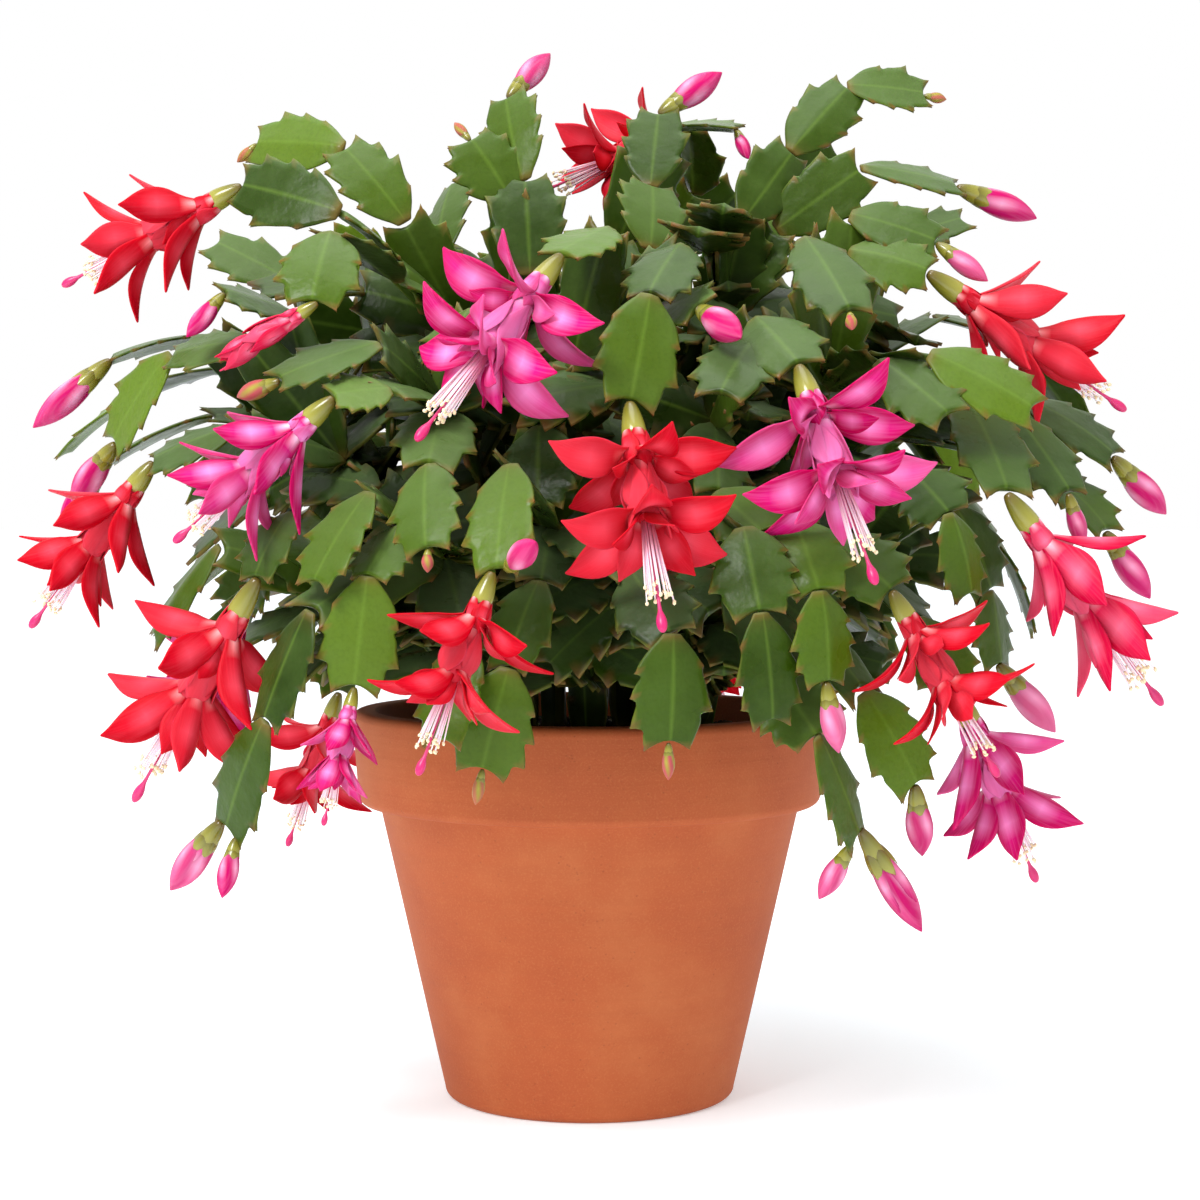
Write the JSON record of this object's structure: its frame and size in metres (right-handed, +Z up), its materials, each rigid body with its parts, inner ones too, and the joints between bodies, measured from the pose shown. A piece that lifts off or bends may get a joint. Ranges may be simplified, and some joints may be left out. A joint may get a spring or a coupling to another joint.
{
  "type": "potted christmas cactus",
  "caption": "Christmas cactus with arching flat-jointed stems, red and magenta flowers and buds, growing in soil in a round tapered clay pot with a rim band.",
  "frame": {"origin": "centre of the pot's foot, on the surface that it stands on", "axes": "+Z up along the pot's axis, -Y towards the viewer of the plant's front, +X to that viewer's right"},
  "size_m": [0.3739, 0.3818, 0.354],
  "materials": {
    "terracotta": "matte unglazed fired clay",
    "potting_soil": null,
    "stem_segment": null,
    "petal_red": "soft satin petal",
    "petal_magenta": "soft satin petal",
    "bud_pink": "satin closed bud"
  },
  "bodies": {
    "root": {"pot": "terracotta", "soil": "potting_soil", "stem_centre_left": "stem_segment", "stem_centre_right": "stem_segment", "stem_front": "stem_segment", "stem_front_left": "stem_segment", "stem_front_right": "stem_segment", "stem_left": "stem_segment", "stem_far_left": "stem_segment", "stem_right": "stem_segment", "stem_far_right": "stem_segment", "stem_back_right": "stem_segment", "stem_back": "stem_segment", "stem_back_left": "stem_segment", "flower_left_top": "petal_red", "flower_left_half_open": "petal_red", "flower_front_large": "petal_magenta", "flower_left_middle": "petal_magenta", "flower_far_left": "petal_red", "flower_left_low": "petal_red", "flower_left_behind": "petal_magenta", "flower_left_small": "petal_magenta", "flower_front_low": "petal_red", "flower_front_red": "petal_red", "flower_right_magenta": "petal_magenta", "flower_right_top": "petal_red", "flower_far_right": "petal_red", "flower_right_low": "petal_red", "flower_right_behind": "petal_magenta", "flower_top": "petal_red", "flower_back_left": "petal_magenta", "flower_back_low": "petal_red", "flower_back_right": "petal_magenta", "flower_back_far": "petal_red", "bud_top_left": "bud_pink", "bud_top_dark": "bud_pink", "bud_top_middle": "bud_pink", "bud_top_hanging": "bud_pink", "bud_right_long": "bud_pink", "bud_right_second": "bud_pink", "bud_middle": "bud_pink", "bud_left_hanging": "bud_pink", "bud_left_long": "bud_pink", "bud_left_drooping": "bud_pink", "bud_left_hidden": "bud_pink", "bud_left_green": "bud_pink", "bud_front_pink": "bud_pink", "bud_front_left_green": "bud_pink", "bud_front_green": "bud_pink", "bud_right_hanging": "bud_pink", "bud_low_right_first": "bud_pink", "bud_low_right_second": "bud_pink", "bud_low_right_third": "bud_pink", "bud_far_right": "bud_pink", "bud_far_right_second": "bud_pink", "bud_far_right_third": "bud_pink", "bud_right_side": "bud_pink", "bud_low_left_first": "bud_pink", "bud_low_left_second": "bud_pink"}
  },
  "joints": []
}
